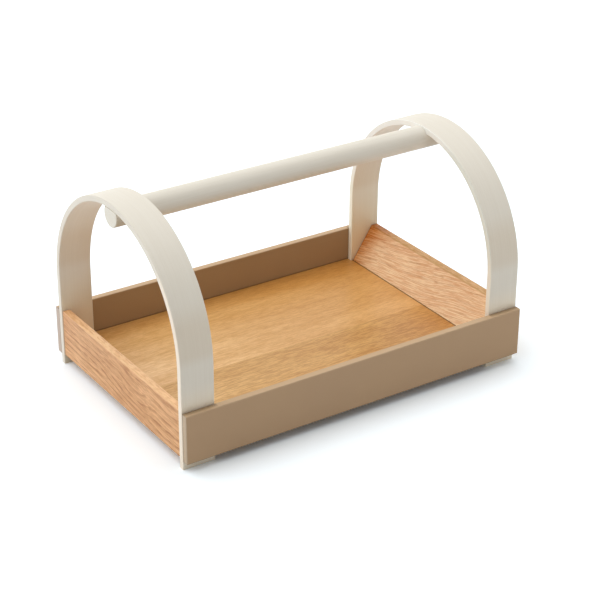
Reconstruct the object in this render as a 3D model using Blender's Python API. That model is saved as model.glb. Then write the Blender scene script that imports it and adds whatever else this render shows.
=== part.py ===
"""Carry tray: two bent strips joined by a round handle, carrying a shallow open box.

Frame: metres, +Z up, the tray stands on z = 0 and is centred on the Z axis.
The length and the handle run along X. The near long side is at -Y.
"""
import math

import bmesh
import bpy
from mathutils import Matrix, Vector

MM = 0.001

# Overall size and the stock that the pieces are cut from
LENGTH = 374.2 * MM
WIDTH = 250 * MM
BOARD_THICKNESS = 7 * MM
BOARD_HEIGHT = 49 * MM
BOARD_CLEARANCE_BELOW = 9 * MM
STRIP_THICKNESS = 5.8 * MM
STRIP_WIDTH = 33.5 * MM
SPRING_HEIGHT = 96 * MM
FLOOR_THICKNESS = 6 * MM
FLOOR_TOP = 22.6 * MM
HANDLE_DIAMETER = 22.8 * MM
HANDLE_DROP = 0.6 * MM

# End blocks: a flat top edge, an upright outer face and a sloping inner face
END_TOP_WIDTH = 7.4 * MM
END_FOOT_WIDTH = 30.8 * MM
END_CLEARANCE_BELOW = 10.4 * MM
END_INSET = 0.8 * MM

# Fits
GLUE_GAP = 0.3 * MM
PIN_GAP = 0.2 * MM
GROOVE_DEPTH = 2.8 * MM
END_GROOVE_DEPTH = 4 * MM
CORNER_PIN_DIAMETER = 6 * MM
CORNER_PIN_IN_BLOCK = 15 * MM
CORNER_PIN_MARGIN = 11 * MM
HANDLE_PIN_DIAMETER = 5 * MM
HANDLE_PIN_IN_HANDLE = 8 * MM
EDGE_ROUND = 0.7 * MM
PIN_CHAMFER = 0.5 * MM
ARCH_STEPS = 56
EDGE_ANGLE = math.radians(32)

# Places worked out from the sizes above
HALF_LENGTH = LENGTH / 2
HALF_WIDTH = WIDTH / 2
BOARD_INNER_Y = HALF_WIDTH - BOARD_THICKNESS
BOARD_TOP = BOARD_CLEARANCE_BELOW + BOARD_HEIGHT
STRIP_OUTER_Y = BOARD_INNER_Y - GLUE_GAP
STRIP_INNER_Y = STRIP_OUTER_Y - STRIP_THICKNESS
STRIP_INNER_X = HALF_LENGTH - STRIP_WIDTH
ARCH_TOP = SPRING_HEIGHT + STRIP_OUTER_Y
HANDLE_RADIUS = HANDLE_DIAMETER / 2
HANDLE_Z = ARCH_TOP - HANDLE_DROP - HANDLE_RADIUS
END_OUTER_X = HALF_LENGTH - END_INSET
END_TOP_X = END_OUTER_X - END_TOP_WIDTH
END_FOOT_X = END_OUTER_X - END_FOOT_WIDTH
END_HALF_Y = STRIP_INNER_Y - GLUE_GAP
FLOOR_BOTTOM = FLOOR_TOP - FLOOR_THICKNESS
GROOVE_TOP = FLOOR_TOP + GLUE_GAP
GROOVE_BOTTOM = FLOOR_BOTTOM - GLUE_GAP


def clear_scene():
    for thing in list(bpy.data.objects):
        bpy.data.objects.remove(thing, do_unlink=True)


def make_material(name, color, roughness):
    material = bpy.data.materials.new(name)
    material.use_nodes = True
    shader = material.node_tree.nodes["Principled BSDF"]
    shader.inputs["Base Color"].default_value = (*color, 1.0)
    shader.inputs["Roughness"].default_value = roughness
    shader.inputs["Metallic"].default_value = 0.0
    material.diffuse_color = (*color, 1.0)
    return material


def object_from_bmesh(name, bm, material=None, smooth=False):
    bmesh.ops.recalc_face_normals(bm, faces=bm.faces)
    mesh = bpy.data.meshes.new(name)
    bm.to_mesh(mesh)
    bm.free()
    thing = bpy.data.objects.new(name, mesh)
    bpy.context.scene.collection.objects.link(thing)
    if material:
        mesh.materials.append(material)
    if smooth:
        mesh.shade_smooth()
        mesh.set_sharp_from_angle(angle=EDGE_ANGLE)
    return thing


def extruded(name, outline, axis, low, high, material=None, smooth=False):
    """Extrude a closed outline of pairs along axis X, Y or Z, from low to high."""
    place = {
        "X": lambda a, b: Vector((low, a, b)),
        "Y": lambda a, b: Vector((a, low, b)),
        "Z": lambda a, b: Vector((a, b, low)),
    }[axis]
    run = Vector([high - low if axis == letter else 0.0 for letter in "XYZ"])
    bm = bmesh.new()
    face = bm.faces.new([bm.verts.new(place(a, b)) for a, b in outline])
    raised = bmesh.ops.extrude_face_region(bm, geom=[face])
    corners = [item for item in raised["geom"] if isinstance(item, bmesh.types.BMVert)]
    bmesh.ops.translate(bm, verts=corners, vec=run)
    return object_from_bmesh(name, bm, material, smooth)


def box_outline(low_a, high_a, low_b, high_b):
    return [(low_a, low_b), (high_a, low_b), (high_a, high_b), (low_a, high_b)]


def round_edges(thing, width, stay_sharp=None):
    """Round the true edges, so that each catches a soft line of light."""
    bm = bmesh.new()
    bm.from_mesh(thing.data)
    weight = bm.edges.layers.float.new("bevel_weight_edge")
    for edge in bm.edges:
        kept = stay_sharp is not None and all(stay_sharp(vert.co) for vert in edge.verts)
        if edge.calc_face_angle(0.0) > EDGE_ANGLE and not kept:
            edge[weight] = 1.0
    bm.to_mesh(thing.data)
    bm.free()
    bevel = thing.modifiers.new("round_edges", "BEVEL")
    bevel.width = width
    bevel.segments = 2
    bevel.limit_method = "WEIGHT"
    bevel.use_clamp_overlap = True


def cylinder(name, radius, low, high, axis, centre, material=None, chamfer=0.0, steps=24):
    """A closed round bar along X, Y or Z, with an optional chamfer at both ends."""
    stations = [(low, radius), (high, radius)]
    if chamfer:
        stations = [
            (low, radius - chamfer),
            (low + chamfer, radius),
            (high - chamfer, radius),
            (high, radius - chamfer),
        ]
    bm = bmesh.new()
    rings = []
    for along, ring_radius in stations:
        ring = []
        for step in range(steps):
            angle = 2 * math.pi * step / steps
            ring.append(bm.verts.new((
                ring_radius * math.cos(angle),
                ring_radius * math.sin(angle),
                along,
            )))
        rings.append(ring)
    for first, second in zip(rings, rings[1:]):
        for step in range(steps):
            following = (step + 1) % steps
            bm.faces.new((first[step], first[following], second[following], second[step]))
    bm.faces.new(reversed(rings[0]))
    bm.faces.new(rings[-1])
    turn = {
        "X": Matrix.Rotation(math.radians(90), 4, "Y"),
        "Y": Matrix.Rotation(math.radians(-90), 4, "X"),
        "Z": Matrix.Identity(4),
    }[axis]
    bmesh.ops.transform(bm, matrix=Matrix.Translation(centre) @ turn, verts=bm.verts)
    return object_from_bmesh(name, bm, material, smooth=True)


def subtract(thing, cutter):
    """Cut the cutter's shape out of a piece; the cutter itself is no piece."""
    cutter.hide_render = True
    cutter.display_type = "WIRE"
    cut = thing.modifiers.new("cut_" + cutter.name, "BOOLEAN")
    cut.operation = "DIFFERENCE"
    cut.solver = "EXACT"
    cut.object = cutter


def slope_x(height):
    """Distance from the middle to an end block's sloping face at a height."""
    share = (height - FLOOR_TOP) / (BOARD_TOP - FLOOR_TOP)
    return END_FOOT_X + (END_TOP_X - END_FOOT_X) * max(share, 0.0)


def corner_pin_places():
    """Pin centres in X and Z: one low and one high, each in the middle of the section."""
    heights = {
        "low": END_CLEARANCE_BELOW + CORNER_PIN_MARGIN,
        "high": BOARD_TOP - CORNER_PIN_MARGIN,
    }
    places = {}
    for name, height in heights.items():
        inner = slope_x(height)
        if name == "low":
            inner = END_FOOT_X + END_GROOVE_DEPTH
        places[name] = ((inner + END_OUTER_X) / 2, height)
    return places


def handle_pin_places():
    """Distances from the middle to the two pins under each strip."""
    middle = STRIP_INNER_X + STRIP_WIDTH / 2
    return {"inner": middle - STRIP_WIDTH / 4, "outer": middle + STRIP_WIDTH / 4}


CORNER_PIN_OUTER_Y = BOARD_INNER_Y + BOARD_THICKNESS / 2
CORNER_PIN_INNER_Y = END_HALF_Y - CORNER_PIN_IN_BLOCK
STRIP_UNDERSIDE = SPRING_HEIGHT + STRIP_INNER_Y
HANDLE_PIN_TOP = STRIP_UNDERSIDE + STRIP_THICKNESS / 2
HANDLE_PIN_BOTTOM = STRIP_UNDERSIDE - HANDLE_PIN_IN_HANDLE
SIDES = {"near": -1, "far": 1}
ENDS = {"left": -1, "right": 1}


def y_span(side, low, high):
    """A span of distances from the middle, put on the near or the far side."""
    return sorted((side * low, side * high))


def corner_hole(thing, name, end, side):
    """Bore the two holes for the pins at one corner through or into a piece."""
    for level, (x, z) in corner_pin_places().items():
        low, high = y_span(side, CORNER_PIN_INNER_Y - PIN_GAP, CORNER_PIN_OUTER_Y + PIN_GAP)
        cutter = cylinder(
            f"cutter_{name}_{level}",
            CORNER_PIN_DIAMETER / 2 + PIN_GAP,
            low,
            high,
            "Y",
            (end * x, 0, z),
        )
        subtract(thing, cutter)


def handle_pin_holes(thing, name, end):
    for place, x in handle_pin_places().items():
        cutter = cylinder(
            f"cutter_{name}_{place}",
            HANDLE_PIN_DIAMETER / 2 + PIN_GAP,
            HANDLE_PIN_BOTTOM - PIN_GAP,
            HANDLE_PIN_TOP + PIN_GAP,
            "Z",
            (end * x, 0, 0),
        )
        subtract(thing, cutter)


def build_side_board(side_name, side, material):
    """A long side, painted, with a stopped groove inside for the floor's edge."""
    name = f"side_board_{side_name}"
    low, high = y_span(side, BOARD_INNER_Y, HALF_WIDTH)
    outline = box_outline(low, high, BOARD_CLEARANCE_BELOW, BOARD_TOP)
    board = extruded(name, outline, "X", -HALF_LENGTH, HALF_LENGTH, material, smooth=True)
    round_edges(board, EDGE_ROUND)
    groove_low, groove_high = y_span(side, STRIP_INNER_Y, BOARD_INNER_Y + GROOVE_DEPTH)
    groove = extruded(
        f"cutter_groove_{side_name}",
        box_outline(groove_low, groove_high, GROOVE_BOTTOM, GROOVE_TOP),
        "X",
        -STRIP_INNER_X,
        STRIP_INNER_X,
    )
    subtract(board, groove)
    for end_name, end in ENDS.items():
        corner_hole(board, f"{name}_{end_name}", end, side)


def arch_outline():
    """One bent strip seen from the end: two straight legs and a half circle."""
    outer = []
    inner = []
    for step in range(ARCH_STEPS + 1):
        angle = math.pi * step / ARCH_STEPS
        across = math.cos(angle)
        rise = math.sin(angle)
        outer.append((STRIP_OUTER_Y * across, SPRING_HEIGHT + STRIP_OUTER_Y * rise))
        inner.append((STRIP_INNER_Y * across, SPRING_HEIGHT + STRIP_INNER_Y * rise))
    legs_outer = [(STRIP_OUTER_Y, 0.0), *outer, (-STRIP_OUTER_Y, 0.0)]
    legs_inner = [(STRIP_INNER_Y, 0.0), *inner, (-STRIP_INNER_Y, 0.0)]
    return legs_outer + legs_inner[::-1]


def build_arch(end_name, end, material):
    """A bent laminated strip; its lower ends are the feet of the tray."""
    name = f"arch_{end_name}"
    low, high = sorted((end * STRIP_INNER_X, end * HALF_LENGTH))
    arch = extruded(name, arch_outline(), "X", low, high, material, smooth=True)
    round_edges(arch, EDGE_ROUND)
    for side_name, side in SIDES.items():
        corner_hole(arch, f"{name}_{side_name}", end, side)
    handle_pin_holes(arch, name, end)


def build_end_block(end_name, end, material):
    """A solid end between two legs, with a groove for the end of the floor."""
    name = f"end_block_{end_name}"
    groove_x = END_FOOT_X + END_GROOVE_DEPTH
    section = [
        (END_FOOT_X, END_CLEARANCE_BELOW),
        (END_OUTER_X, END_CLEARANCE_BELOW),
        (END_OUTER_X, BOARD_TOP),
        (END_TOP_X, BOARD_TOP),
        (slope_x(GROOVE_TOP), GROOVE_TOP),
        (groove_x, GROOVE_TOP),
        (groove_x, GROOVE_BOTTOM),
        (END_FOOT_X, GROOVE_BOTTOM),
    ]
    outline = [(end * x, z) for x, z in section]
    block = extruded(name, outline, "Y", -END_HALF_Y, END_HALF_Y, material, smooth=True)
    round_edges(block, EDGE_ROUND, lambda point: point.z < (FLOOR_TOP + BOARD_TOP) / 2)
    for side_name, side in SIDES.items():
        corner_hole(block, f"{name}_{side_name}", end, side)


def build_floor(material):
    """The floor panel: its edges sit in the grooves and its corners clear the legs."""
    side_x = STRIP_INNER_X - GLUE_GAP
    end_x = END_FOOT_X + END_GROOVE_DEPTH - GLUE_GAP
    side_y = BOARD_INNER_Y + GROOVE_DEPTH - GLUE_GAP
    end_y = END_HALF_Y
    quarter = [(end_x, end_y), (side_x, end_y), (side_x, side_y)]
    outline = quarter
    outline = outline + [(-x, y) for x, y in quarter[::-1]]
    outline = outline + [(-x, -y) for x, y in quarter]
    outline = outline + [(x, -y) for x, y in quarter[::-1]]
    extruded("floor_panel", outline, "Z", FLOOR_BOTTOM, FLOOR_TOP, material)


def build_handle(material):
    """The round handle; a seat cut in each end takes the strip that lies on it."""
    handle = cylinder(
        "handle_dowel",
        HANDLE_RADIUS,
        -HALF_LENGTH,
        HALF_LENGTH,
        "X",
        (0, 0, HANDLE_Z),
        material,
        chamfer=PIN_CHAMFER,
        steps=56,
    )
    seat_radius = STRIP_INNER_Y - GLUE_GAP
    reach = math.asin(min(1.5 * HANDLE_RADIUS / seat_radius, 0.9))
    seat_steps = 12
    seat = []
    for step in range(seat_steps + 1):
        angle = reach - 2 * reach * step / seat_steps
        seat.append((
            seat_radius * math.sin(angle),
            SPRING_HEIGHT + seat_radius * math.cos(angle),
        ))
    above = ARCH_TOP + HANDLE_RADIUS
    seat = seat + [(seat[-1][0], above), (seat[0][0], above)]
    for end_name, end in ENDS.items():
        low, high = sorted((
            end * (STRIP_INNER_X - GLUE_GAP),
            end * (HALF_LENGTH + STRIP_WIDTH / 2),
        ))
        cutter = extruded(f"cutter_seat_{end_name}", seat, "X", low, high)
        subtract(handle, cutter)
        handle_pin_holes(handle, f"handle_{end_name}", end)


def build_corner_pins(material):
    """Blind pins: from each end block through the leg and into the side board."""
    for end_name, end in ENDS.items():
        for side_name, side in SIDES.items():
            low, high = y_span(side, CORNER_PIN_INNER_Y, CORNER_PIN_OUTER_Y)
            for level, (x, z) in corner_pin_places().items():
                cylinder(
                    f"corner_pin_{end_name}_{side_name}_{level}",
                    CORNER_PIN_DIAMETER / 2,
                    low,
                    high,
                    "Y",
                    (end * x, 0, z),
                    material,
                    chamfer=PIN_CHAMFER,
                    steps=20,
                )


def build_handle_pins(material):
    """Blind pins that key each strip to the seat of the handle below it."""
    for end_name, end in ENDS.items():
        for place, x in handle_pin_places().items():
            cylinder(
                f"handle_pin_{end_name}_{place}",
                HANDLE_PIN_DIAMETER / 2,
                HANDLE_PIN_BOTTOM,
                HANDLE_PIN_TOP,
                "Z",
                (end * x, 0, 0),
                material,
                chamfer=PIN_CHAMFER,
                steps=20,
            )


def build():
    clear_scene()
    painted = make_material("painted_board", (0.30, 0.215, 0.145), 0.55)
    bentwood = make_material("stained_bentwood", (0.80, 0.74, 0.62), 0.5)
    oak_block = make_material("oak_block", (0.60, 0.36, 0.19), 0.5)
    oak_floor = make_material("oak_floor", (0.64, 0.41, 0.19), 0.45)
    beech = make_material("beech_pin", (0.66, 0.48, 0.30), 0.6)
    for side_name, side in SIDES.items():
        build_side_board(side_name, side, painted)
    for end_name, end in ENDS.items():
        build_arch(end_name, end, bentwood)
        build_end_block(end_name, end, oak_block)
    build_floor(oak_floor)
    build_handle(bentwood)
    build_corner_pins(beech)
    build_handle_pins(beech)


build()
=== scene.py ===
"""Carry tray, finished: oak ends and floor, taupe sides, two bent strips and a round handle.

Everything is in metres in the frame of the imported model: +X along the handle, +Z up, feet on z = 0.
"""
import math

import bmesh
import bpy
from mathutils import Matrix, Vector


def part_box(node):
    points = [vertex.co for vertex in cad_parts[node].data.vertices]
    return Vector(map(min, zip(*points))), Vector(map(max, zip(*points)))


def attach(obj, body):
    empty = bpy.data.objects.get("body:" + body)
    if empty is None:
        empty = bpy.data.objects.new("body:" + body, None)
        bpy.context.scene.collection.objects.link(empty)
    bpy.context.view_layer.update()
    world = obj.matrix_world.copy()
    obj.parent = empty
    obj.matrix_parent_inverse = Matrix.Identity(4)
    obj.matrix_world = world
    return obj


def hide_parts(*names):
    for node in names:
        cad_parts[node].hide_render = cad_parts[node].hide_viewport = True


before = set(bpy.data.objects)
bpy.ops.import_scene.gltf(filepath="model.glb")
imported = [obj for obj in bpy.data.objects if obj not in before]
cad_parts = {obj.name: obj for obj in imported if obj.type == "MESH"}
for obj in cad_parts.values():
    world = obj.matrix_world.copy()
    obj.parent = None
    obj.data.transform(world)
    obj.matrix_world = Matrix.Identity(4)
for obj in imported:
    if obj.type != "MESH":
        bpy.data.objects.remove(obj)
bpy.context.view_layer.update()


# End blocks
# Two solid oak blocks close the tray's ends. Each is planed to an upright outer face and a long slope
# inside, grooved for the end of the floor, then glued and pinned between the two legs of its arch.

MM = 0.001
ENDS = {"left": -1, "right": 1}
SIDES = {"near": -1, "far": 1}
EASED_EDGE = 0.7 * MM
SLIP = 0.2 * MM
SHARP_ANGLE = math.radians(35)

block_low, block_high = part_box("end_block_right")
floor_low, floor_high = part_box("floor_panel")
BLOCK_HALF_Y = block_high.y
BLOCK_TOP_WIDTH = 7.4 * MM
BLOCK_GROOVE_DEPTH = 4 * MM
GLUE_LINE = 0.3 * MM
FLOOR_TOP = floor_high.z
SLOPE_RUN = block_high.x - BLOCK_TOP_WIDTH - block_low.x
SLOPE_RISE = block_high.z - FLOOR_TOP
SLOPE_LENGTH = math.hypot(SLOPE_RUN, SLOPE_RISE)


def piece_from(name, bm):
    """Close a bmesh into an object with a plain mesh."""
    bmesh.ops.recalc_face_normals(bm, faces=bm.faces)
    mesh = bpy.data.meshes.new(name)
    bm.to_mesh(mesh)
    bm.free()
    thing = bpy.data.objects.new(name, mesh)
    bpy.context.scene.collection.objects.link(thing)
    return thing


def sawn(name, outline, axis, low, high):
    """Saw a length of one section: the outline's pairs run along the other two axes."""
    place = {
        "X": lambda a, b: Vector((low, a, b)),
        "Y": lambda a, b: Vector((a, low, b)),
        "Z": lambda a, b: Vector((a, b, low)),
    }[axis]
    run = Vector([high - low if axis == letter else 0.0 for letter in "XYZ"])
    bm = bmesh.new()
    face = bm.faces.new([bm.verts.new(place(a, b)) for a, b in outline])
    raised = bmesh.ops.extrude_face_region(bm, geom=[face])
    corners = [item for item in raised["geom"] if isinstance(item, bmesh.types.BMVert)]
    bmesh.ops.translate(bm, verts=corners, vec=run)
    return piece_from(name, bm)


def ease_edges(thing, width, leave=None):
    """Sand the true edges round, except those whose both ends are left out."""
    bm = bmesh.new()
    bm.from_mesh(thing.data)
    weight = bm.edges.layers.float.new("bevel_weight_edge")
    for edge in bm.edges:
        left = leave is not None and all(leave(vert.co) for vert in edge.verts)
        if edge.calc_face_angle(0.0) > SHARP_ANGLE and not left:
            edge[weight] = 1.0
    bm.to_mesh(thing.data)
    bm.free()
    eased = thing.modifiers.new("eased_edges", "BEVEL")
    eased.width = width
    eased.segments = 3
    eased.limit_method = "WEIGHT"


def cut_away(thing, cutter):
    """Cut one piece out of another; finish_shape carries the cut out and drops the cutter."""
    cut = thing.modifiers.new("cut", "BOOLEAN")
    cut.operation = "DIFFERENCE"
    cut.solver = "EXACT"
    cut.object = cutter


def bore_for(thing, pin, steps=32):
    """Bore the hole of a pin: a little wider and longer than the pin that the frame has there."""
    low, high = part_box(pin)
    size = high - low
    long_axis = max(range(3), key=lambda index: size[index])
    radius = min(size) / 2 + SLIP
    half = size[long_axis] / 2 + SLIP
    across = [index for index in range(3) if index != long_axis]
    middle = (low + high) / 2
    outline = [
        (
            middle[across[0]] + radius * math.cos(2 * math.pi * step / steps),
            middle[across[1]] + radius * math.sin(2 * math.pi * step / steps),
        )
        for step in range(steps)
    ]
    centre = middle[long_axis]
    cut_away(thing, sawn("bore", outline, "XYZ"[long_axis], centre - half, centre + half))


def plain_mesh(thing):
    """Turn what the modifiers make into the piece's own mesh."""
    graph = bpy.context.evaluated_depsgraph_get()
    mesh = bpy.data.meshes.new_from_object(thing.evaluated_get(graph))
    thing.modifiers.clear()
    thing.data = mesh
    mesh.name = thing.name


def finish_shape(thing):
    """Apply the cuts, throw the cutters away, and shade flats flat and rounds round."""
    cutters = [item.object for item in thing.modifiers if item.type == "BOOLEAN"]
    plain_mesh(thing)
    for cutter in cutters:
        bpy.data.objects.remove(cutter, do_unlink=True)
    thing.data.shade_smooth()
    thing.data.set_sharp_from_angle(angle=SHARP_ANGLE)
    even = thing.modifiers.new("flat_faces", "WEIGHTED_NORMAL")
    even.keep_sharp = True
    plain_mesh(thing)


def feed(tree, socket, value):
    """Link a socket to another one, or give it a plain value."""
    if isinstance(value, bpy.types.NodeSocket):
        tree.links.new(value, socket)
    else:
        socket.default_value = value


def node(tree, kind, feeds=None, **settings):
    """Add a node, set its own options, and feed its named inputs."""
    made = tree.nodes.new(kind)
    for name, value in settings.items():
        setattr(made, name, value)
    for name, value in (feeds or {}).items():
        feed(tree, made.inputs[name], value)
    return made


def reckon(tree, operation, *terms):
    made = node(tree, "ShaderNodeMath", operation=operation)
    for socket, term in zip(made.inputs, terms):
        feed(tree, socket, term)
    return made.outputs[0]


def reckon_vector(tree, operation, *terms):
    made = node(tree, "ShaderNodeVectorMath", operation=operation)
    for socket, term in zip(made.inputs, terms):
        feed(tree, socket, term)
    return made.outputs["Vector"]


def vector(tree, x, y, z):
    return node(tree, "ShaderNodeCombineXYZ", {"X": x, "Y": y, "Z": z}).outputs[0]


def parts_of(tree, given):
    return node(tree, "ShaderNodeSeparateXYZ", {"Vector": given}).outputs


def eased(tree, value, low, high, start=0.0, end=1.0):
    """Run smoothly from start to end while the value goes from low to high."""
    feeds = {"Value": value, "From Min": low, "From Max": high, "To Min": start, "To Max": end}
    return node(tree, "ShaderNodeMapRange", feeds, interpolation_type="SMOOTHSTEP").outputs[0]


def mixed(tree, share, first, second, blend="MIX"):
    made = node(tree, "ShaderNodeMix", data_type="RGBA", blend_type=blend)
    feed(tree, made.inputs[0], share)
    feed(tree, made.inputs[6], first)
    feed(tree, made.inputs[7], second)
    return made.outputs[2]


def tinted(tree, share, colour, tint):
    """Multiply a colour by a tint, as far as the share goes."""
    return mixed(tree, share, colour, mixed(tree, 1.0, colour, tint, "MULTIPLY"))


def noise(tree, place, scale, detail=2.0, roughness=0.5):
    feeds = {"Vector": place, "Scale": scale, "Detail": detail, "Roughness": roughness}
    return node(tree, "ShaderNodeTexNoise", feeds).outputs[0]


def noise_colour(tree, place, detail):
    """Three noises at once, each running from about -1 to 1."""
    made = node(tree, "ShaderNodeTexNoise", {"Vector": place, "Scale": 1.0, "Detail": detail})
    centred = reckon_vector(tree, "SUBTRACT", made.outputs["Color"], (0.5, 0.5, 0.5))
    return scaled(tree, centred, 2.0)


def scaled(tree, given, factor):
    return node(tree, "ShaderNodeVectorMath", {0: given, "Scale": factor}, operation="SCALE").outputs[0]


def stretched(tree, place, length, width):
    """Measure a place in cells that are long in X, so that a noise on it is drawn out that way."""
    return reckon_vector(tree, "DIVIDE", place, vector(tree, length, width, width))


def new_group(name, inputs, outputs):
    """A shader node group with named sockets; returns the group, its inputs and its output node."""
    group = bpy.data.node_groups.new(name, "ShaderNodeTree")
    for label, value in inputs.items():
        kind = "NodeSocketVector" if isinstance(value, tuple) else "NodeSocketFloat"
        socket = group.interface.new_socket(name=label, in_out="INPUT", socket_type=kind)
        socket.default_value = value
    for label in outputs:
        group.interface.new_socket(name=label, in_out="OUTPUT", socket_type="NodeSocketFloat")
    return group, group.nodes.new("NodeGroupInput").outputs, group.nodes.new("NodeGroupOutput")


def placed(tree, group, feeds):
    """Add a node that runs a shader node group, and feed its named inputs; returns the outputs."""
    made = tree.nodes.new("ShaderNodeGroup")
    made.node_tree = group
    for name, value in feeds.items():
        feed(tree, made.inputs[name], value)
    return made.outputs


def rim_group():
    """Worn rims: Depth holds how far a point lies inside each pair of faces; near two is near an edge."""
    group, given, result = new_group(
        "worn_rim",
        {"Depth": (0.0, 0.0, 0.0), "Place": (0.0, 0.0, 0.0), "Width": 1 * MM, "Unevenness": 0.5},
        ["Rim"],
    )
    parts = parts_of(group, given["Depth"])
    pairs = [
        reckon(group, "MAXIMUM", parts[first], parts[second])
        for first, second in ((0, 1), (1, 2), (0, 2))
    ]
    to_edge = reckon(group, "MINIMUM", reckon(group, "MINIMUM", pairs[0], pairs[1]), pairs[2])
    patchy = noise(group, given["Place"], 140.0, 3.0, 0.6)
    patchy = reckon(group, "MULTIPLY", reckon(group, "SUBTRACT", patchy, 0.5), given["Unevenness"])
    share = reckon(group, "ADD", reckon(group, "DIVIDE", to_edge, given["Width"]), patchy)
    feed(group, result.inputs["Rim"], eased(group, share, 0.35, 1.0, 1.0, 0.0))
    return group


def oak_group():
    """Oak figure for a piece whose grain runs along the X of Place: rings round a far pith, and pores.

    Wander bends every fibre the same way, so rings, strokes and pores stay together.
    """
    group, given, result = new_group(
        "oak_figure",
        {
            "Place": (0.0, 0.0, 0.0),
            "Pith": (0.0, 0.0, 0.0),
            "Ring width": 4 * MM,
            "Ring line": 0.5,
            "Wander": 4 * MM,
            "Stroke length": 16 * MM,
            "Stroke width": 1.4 * MM,
            "Seed": 0.0,
        },
        ["Early wood", "Strokes", "Pores", "Tone"],
    )
    shift = vector(group, given["Seed"], given["Seed"], 0.0)
    seeded = reckon_vector(group, "ADD", given["Place"], shift)
    slow = noise_colour(group, stretched(group, seeded, 90 * MM, 42 * MM), 1.0)
    fast = noise_colour(group, stretched(group, seeded, 14 * MM, 7 * MM), 2.0)
    both = reckon_vector(group, "ADD", slow, scaled(group, fast, 0.11))
    sideways = reckon_vector(group, "MULTIPLY", both, (0.0, 1.0, 1.0))
    wander = scaled(group, sideways, given["Wander"])
    fibre = reckon_vector(group, "ADD", seeded, wander)
    from_pith = reckon_vector(group, "SUBTRACT", given["Place"], given["Pith"])
    from_pith = reckon_vector(group, "ADD", from_pith, wander)
    parts = parts_of(group, from_pith)
    square = reckon(group, "MULTIPLY", parts[1], parts[1])
    radius = reckon(group, "SQRT", reckon(group, "MULTIPLY_ADD", parts[2], parts[2], square))
    turns = reckon(group, "DIVIDE", radius, given["Ring width"])
    ring = reckon(group, "FRACT", turns)
    which = reckon(group, "FLOOR", turns)
    year = node(group, "ShaderNodeTexWhiteNoise", {"W": which}, noise_dimensions="1D").outputs[0]
    starts = eased(group, ring, 0.0, 0.08)
    fades = eased(group, ring, 0.08, given["Ring line"], 1.0, 0.0)
    gaps = noise(group, stretched(group, seeded, 14 * MM, 3.2 * MM), 1.0)
    broken = eased(group, gaps, 0.30, 0.62)
    good_year = reckon(group, "MULTIPLY_ADD", year, 0.6, 0.4)
    early = reckon(group, "MULTIPLY", reckon(group, "MULTIPLY", starts, fades), good_year)
    early = reckon(group, "MULTIPLY", early, broken)
    drawn = stretched(group, fibre, given["Stroke length"], given["Stroke width"])
    strokes = eased(group, noise(group, drawn, 1.0, 3.0, 0.6), 0.40, 0.60)
    fine = reckon_vector(group, "MULTIPLY", drawn, (2.6, 3.2, 3.2))
    pores = eased(group, noise(group, fine, 1.0, 2.0, 0.6), 0.52, 0.70)
    tone = eased(group, noise(group, stretched(group, fibre, 200 * MM, 24 * MM), 1.0), 0.32, 0.68)
    named = {"Early wood": early, "Strokes": strokes, "Pores": pores, "Tone": tone}
    for label, value in named.items():
        feed(group, result.inputs[label], value)
    return group


worn_rim = rim_group()
oak_figure = oak_group()


def new_finish(name, roughness):
    """A material with its surface shader; returns both."""
    finish = bpy.data.materials.new(name)
    finish.use_nodes = True
    surface = finish.node_tree.nodes["Principled BSDF"]
    surface.inputs["Roughness"].default_value = roughness
    return finish, finish.node_tree, surface


def raise_surface(tree, surface, height, distance):
    bump = node(tree, "ShaderNodeBump", {"Height": height, "Distance": distance})
    feed(tree, surface.inputs["Normal"], bump.outputs[0])


def block_depth(tree, place):
    """Depth inside an end block's faces: outer face or slope, top, and the ends at the legs."""
    out, along, up = parts_of(tree, reckon_vector(tree, "ABSOLUTE", place))
    outer = reckon(tree, "SUBTRACT", block_high.x, out)
    over = reckon(tree, "MULTIPLY", reckon(tree, "SUBTRACT", out, block_low.x), SLOPE_RISE)
    under = reckon(tree, "MULTIPLY", reckon(tree, "SUBTRACT", up, FLOOR_TOP), SLOPE_RUN)
    slope = reckon(tree, "DIVIDE", reckon(tree, "SUBTRACT", over, under), SLOPE_LENGTH)
    return vector(
        tree,
        reckon(tree, "MINIMUM", outer, slope),
        reckon(tree, "SUBTRACT", block_high.z, up),
        reckon(tree, "SUBTRACT", BLOCK_HALF_Y, along),
    )


# Painted shade for a block's far end, where the far leg of its arch shades it.
BLOCK_END_SHADE = (0.730, 0.390, 0.100, 1.0)
BLOCKS = {
    "left": {
        "pale": (0.870, 0.508, 0.246, 1.0),
        "warm": (0.590, 0.288, 0.117, 1.0),
        "dark": (0.400, 0.135, 0.028, 1.0),
        "worn": (0.930, 0.600, 0.325, 1.0),
        "worn_top": 0.35,
        "lines": 1.08,
        "painted_end_shade": 0.25,
        "pith": (-60 * MM, 34 * MM),
        "ring": 2.8 * MM,
        "line": 0.50,
        "lean": (-3.4, 0.0),
        "wander": 4.5 * MM,
        "stroke": (26 * MM, 1.1 * MM),
        "seed": 3.1,
    },
    "right": {
        "pale": (1.000, 0.735, 0.450, 1.0),
        "warm": (0.735, 0.368, 0.168, 1.0),
        "dark": (0.410, 0.155, 0.060, 1.0),
        "worn": (0.500, 0.262, 0.065, 1.0),
        "worn_top": 0.45,
        "lines": 0.30,
        "painted_end_shade": 1.0,
        "pith": (30 * MM, -60 * MM),
        "ring": 5.6 * MM,
        "line": 0.55,
        "lean": (8.5, -5.5),
        "wander": 4.5 * MM,
        "stroke": (26 * MM, 0.85 * MM),
        "seed": 8.4,
    },
}
block_middle = (block_low + block_high) / 2
END_SHADE_ZONE = (76 * MM, 122 * MM)


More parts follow.
